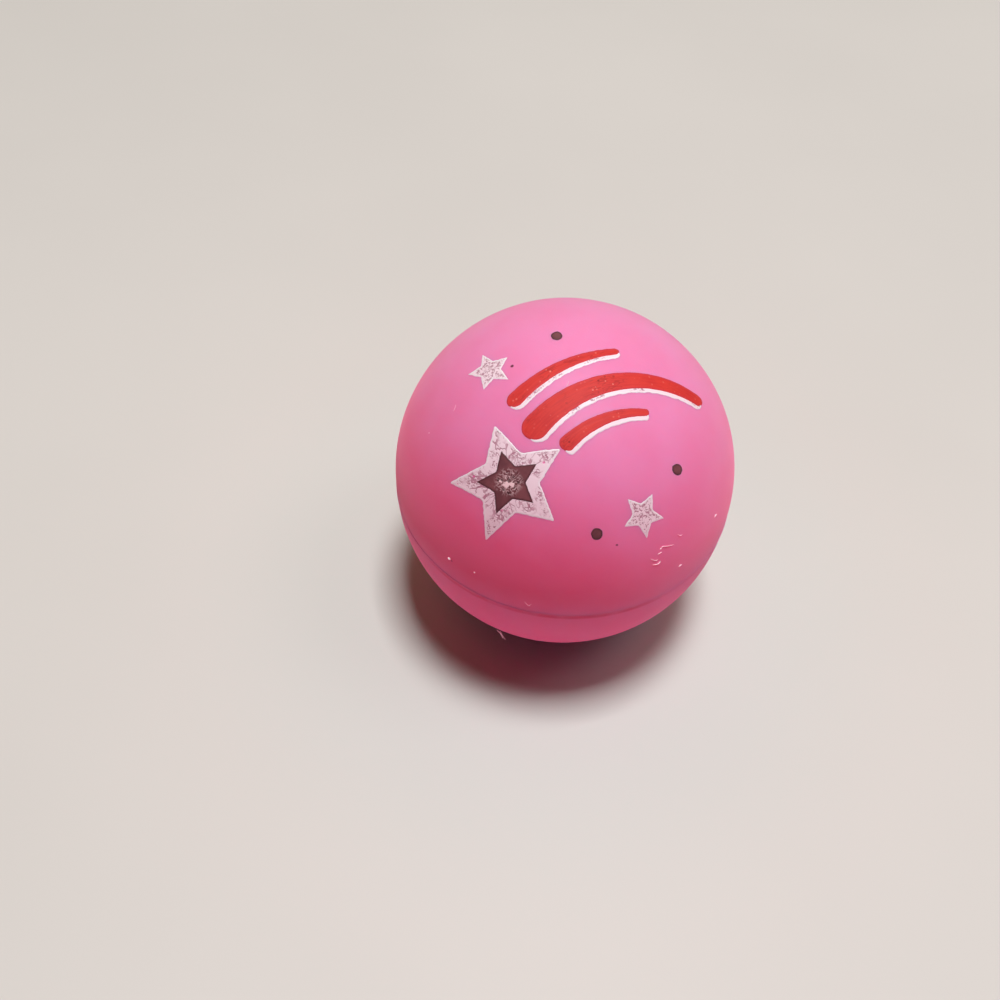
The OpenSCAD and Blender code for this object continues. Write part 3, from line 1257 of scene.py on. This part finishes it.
@dataclass(frozen=True)
class ShootingStarPrint:
    """White ink first, then red and black over it: a large star, its streaks and small motifs."""

    plate: PrintPlate
    ink: float = 0.02 * MM  # thickness of each pass
    bead: float = 0.045 * MM  # how far the ink's outline wanders
    peep: float = 0.35 * MM  # how far the white ink peeps out from under the red
    wear: float = 1.65 * MM  # radius of the worn spot in the black star
    star_at: Pair = (-5.6 * MM, -3.6 * MM)
    # Radii of the tips and of the inner corners: the large star, the black one on it, a small one
    star_radii: Pair = (4.9 * MM, 2.5 * MM)
    black_radii: Pair = (2.7 * MM, 1.4 * MM)
    small_radii: Pair = (1.9 * MM, 0.95 * MM)
    star_turn: float = 14.0
    bend_radius: float = 12.0 * MM
    bend_heading: float = 72.0
    # For each streak its lane, its start, its length and its width
    streaks: tuple[tuple[float, float, float, float], ...] = (
        (0.0, 4.802 * MM, 15.0 * MM, 2.2 * MM),
        (2.816 * MM, 5.488 * MM, 7.5 * MM, 1.364 * MM),
        (-2.816 * MM, 5.488 * MM, 9.3 * MM, 1.364 * MM),
    )
    # For each small star its middle and its turn in degrees
    small_stars: tuple[Triple, ...] = (
        (-7.2 * MM, 6.08 * MM, 20.0), (5.44 * MM, -6.08 * MM, 50.0))
    dots: tuple[Pair, ...] = (
        (-1.6 * MM, 9.12 * MM), (8.32 * MM, -2.24 * MM), (1.6 * MM, -7.68 * MM))
    dot_radius: float = 0.5 * MM
    dot_steps: int = 60
    dot_rows: int = 14

    def streak_patches(self, shift: float, bead: float, seed: int) -> list[InkPatch]:
        """The streaks, moved out from the middle of their bend, with their outlines ragged."""
        bend = Bend(self.star_at, self.bend_radius, self.bend_heading)
        return [bend.streak(lane + shift, *sizes).ragged(bead, seed + number)
                for number, (lane, *sizes) in enumerate(self.streaks)]

    def build(self) -> None:
        """Makes the six pieces of ink in the order in which they are printed."""
        ink, bead, at, turn = self.ink, self.bead, self.star_at, self.star_turn
        large = [star(at, *self.star_radii, turn).ragged(bead, seed=21)]
        base = self.streak_patches(0.0, bead, seed=31)
        small = [star((u, v), *self.small_radii, turned_by).ragged(bead, seed=41 + number)
                 for number, (u, v, turned_by) in enumerate(self.small_stars)]
        red = self.streak_patches(self.peep, bead / 3.0, seed=51)
        heart = [star(at, *self.black_radii, turn).ragged(bead / 2.0, seed=61)]
        disc = circle(self.dot_steps) * self.dot_radius
        spots = [round_patch(middle, disc).ragged(bead / 2.0, seed=71 + number)
                 for number, middle in enumerate(self.dots)]
        creased = WhiteInkFinish("white_ink_creased", rays=1.0, crumbs=0.35, holes=1.0).material()
        crumbed = WhiteInkFinish("white_ink_crumbed", rays=0.0, crumbs=1.0, holes=0.7).material()
        plain = WhiteInkFinish("white_ink_plain", rays=0.0, crumbs=0.25, holes=0.3).material()
        black = BlackInkFinish().material()
        white = InkLayer(self.plate, ink)
        draped = InkLayer(self.plate, ink, over=tuple(base), step=ink)
        inside = InkLayer.inside_share * ink
        on_white = InkLayer(self.plate, ink, base=inside, worn_radius=self.wear)
        on_rubber = InkLayer(self.plate, ink, rows=self.dot_rows)
        for node, patches, layer, slot, material in (
            ("white_star", large, white, Slot.WHITE, creased),
            ("white_streak_base", base, white, Slot.WHITE, plain),
            ("white_small_stars", small, white, Slot.WHITE, crumbed),
            ("red_streaks", red, draped, Slot.RED, RedInkFinish().material()),
            ("black_star", heart, on_white, Slot.BLACK, black),
            ("black_dots", spots, on_rubber, Slot.BLACK, black),
        ):
            dress(layer.build(f"{node}_ink", patches), material, node)


@dataclass(frozen=True)
class Fibre:
    """A fibre of lint, found in the photograph."""

    strength: float  # how pale and thick it is, from 0 to 1
    pixels: tuple[Pair, ...]  # that it passes


@dataclass(frozen=True)
class Lint:
    """Dust that clings to the rubber: fine fibres and a few grains, placed by the photograph."""

    ball: BallFrame
    camera: PhotoCamera
    fibre_radius: float = 0.038 * MM
    faint_share: float = 0.5  # of that radius, in the faintest fibre
    tip_share: float = 0.02  # of a fibre's length, where its rounding starts and ends
    sides: int = 6  # points round a fibre
    span_steps: int = 12  # from one of its pixels to the next
    lift: float = 0.03 * MM  # height of a fibre's middle above the rubber
    grain_steps: int = 10  # from pole to pole
    grain_sides: int = 14  # points round a grain
    grain_height: float = 0.6  # as a share of its width
    knobs: float = 0.2  # share of a grain's radius by which its surface wanders
    fibres: tuple[Fibre, ...] = (
        Fibre(0.6, ((660.6, 549.0), (661.4, 547.2), (663.6, 546.3), (668.6, 545.9),
                    (673.6, 544.4))),
        Fibre(0.65, ((661.6, 551.8), (659.8, 553.0), (657.4, 554.4))),
        Fibre(0.75, ((660.4, 560.6), (659.4, 562.6), (656.6, 564.2), (652.4, 564.8))),
        Fibre(0.55, ((657.6, 559.4), (655.0, 560.4), (650.4, 558.8))),
        Fibre(0.7, ((678.4, 566.7), (679.9, 565.4), (681.6, 564.2))),
        Fibre(0.7, ((714.2, 517.2), (715.3, 515.4), (716.4, 513.6))),
        Fibre(0.35, ((677.4, 534.2), (680.2, 535.6), (682.0, 534.2))),
        Fibre(0.4, ((566.6, 386.6), (567.8, 384.2), (568.8, 381.0))),
        Fibre(0.35, ((524.4, 601.2), (527.2, 604.4), (529.2, 605.6))),
        Fibre(0.35, ((529.2, 605.6), (531.4, 603.8))),
        Fibre(0.75, ((496.6, 629.6), (500.2, 632.8), (503.4, 638.4))),
        Fibre(0.55, ((500.4, 630.6), (502.2, 634.6), (505.6, 639.4))),
        Fibre(0.3, ((453.5, 411.5), (455.0, 408.5), (456.0, 404.8))),
    )
    grains: tuple[Speck, ...] = (
        Speck((449.0, 558.5), 0.32), Speck((474.3, 572.5), 0.20, 0.4),
        Speck((679.9, 565.4), 0.16, 0.9), Speck((715.3, 515.4), 0.16, 0.9),
        Speck((429.0, 433.0), 0.14, 0.5), Speck((660.8, 548.6), 0.17, 0.9),
        Speck((659.4, 562.4), 0.14, 0.8), Speck((680.2, 535.5), 0.11, 0.6),
        Speck((529.4, 605.4), 0.14, 0.4),
    )

    def path(self, pixels: tuple[Pair, ...]) -> Array:
        """A smooth line through the pixels' points on the ball.

        Each span is the cubic whose slope at a point is half the step between its neighbours.

        Args:
            pixels: The pixels that the fibre passes.

        Returns:
            Rows of x, y and z.
        """
        at = np.array([self.camera.on_ball(self.ball, pixel) for pixel in pixels])
        at = at * (1.0 + self.lift / self.ball.radius)
        p = np.concatenate([at[:1], at, at[-1:]])
        t = (np.arange(self.span_steps) / self.span_steps)[None, :, None]
        a, b, c, d = (p[k:len(p) - 3 + k, None] for k in range(4))
        spans = 0.5 * (2.0 * b + (c - a) * t + (2.0 * a - 5.0 * b + 4.0 * c - d) * t ** 2
                       + (3.0 * b - a - 3.0 * c + d) * t ** 3)
        return np.concatenate([spans.reshape(-1, 3), at[-1:]])

    def fibre(self, parts: MeshParts, path: Array, strength: float) -> None:
        """Carries a ring along the path: P + r (n cos a + m sin a), r falling to 0 at the ends.

        Args:
            parts: Where the fibre goes.
            path: Rows of x, y and z.
            strength: How pale and thick it is.
        """
        ahead = unit(np.gradient(path, axis=0))
        side = unit(np.cross(ahead, unit(path)))
        up = np.cross(side, ahead)
        share = np.linspace(self.tip_share, 1.0 - self.tip_share, len(path))
        full = self.fibre_radius * (self.faint_share + (1.0 - self.faint_share) * strength)
        radius = full * np.sqrt(np.sin(np.pi * share))
        turn = circle(self.sides)
        ring = side[:, None] * turn[:, :1] + up[:, None] * turn[:, 1:]
        grid = path[:, None] + ring * radius[:, None, None]
        ends = np.stack([path[0] - ahead[0] * radius[0], path[-1] + ahead[-1] * radius[-1]])
        points = np.concatenate([grid.reshape(-1, 3), ends])
        faces = [f[:, ::-1] for f in capped(len(path), self.sides)]
        parts.add(points, faces, strength=np.full(len(points), strength))

    def grain(self, parts: MeshParts, speck: Speck, number: int) -> None:
        """A knobbly grain: a sphere of radius 1 - knobs + knobs ripple, flattened on the rubber.

        Args:
            parts: Where the grain goes.
            speck: Its place and its width.
            number: Seed of its shape.
        """
        middle = self.camera.on_ball(self.ball, speck.pixel)
        turn = np.array(middle.to_track_quat("Z", "Y").to_matrix())
        ball = arc((0.0, 0.0), 1.0, -90.0, 90.0, self.grain_steps)
        points, faces = turned(ball, self.grain_sides)
        ripple = Ripple(number, shortest=0.7, longest=2.0).at(points)
        points = points * (1.0 - self.knobs + self.knobs * ripple)[:, None]
        points = points * np.array([1.0, 1.0, self.grain_height]) * (speck.width * MM / 2.0)
        parts.add(points @ turn.T + np.array(middle), faces,
                  strength=np.full(len(points), speck.strength))

    def build(self, lint: Material) -> None:
        """Makes the fibres and the grains.

        Args:
            lint: Their material.
        """
        fibres, grains = MeshParts(), MeshParts()
        for fibre in self.fibres:
            self.fibre(fibres, self.path(fibre.pixels), fibre.strength)
        for number, speck in enumerate(self.grains):
            self.grain(grains, speck, number)
        dress(fibres.piece("lint_fibres"), lint)
        dress(grains.piece("dust_grains"), lint)


def main() -> None:
    """Builds the camera, the studio, the rubber, the print and the lint, in that order."""
    logging.basicConfig(level=logging.INFO, format="%(name)s: %(message)s")
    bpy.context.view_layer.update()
    ball = BallFrame.from_model()
    camera = PhotoCamera()
    camera.build()
    Studio(ball).build()
    body = RubberBody(ball)
    body.build(RubberFinish(ball, camera).material())
    ShootingStarPrint(PrintPlate(body)).build()
    Lint(ball, camera).build(LintFinish().material())


if __name__ == "__main__":
    main()
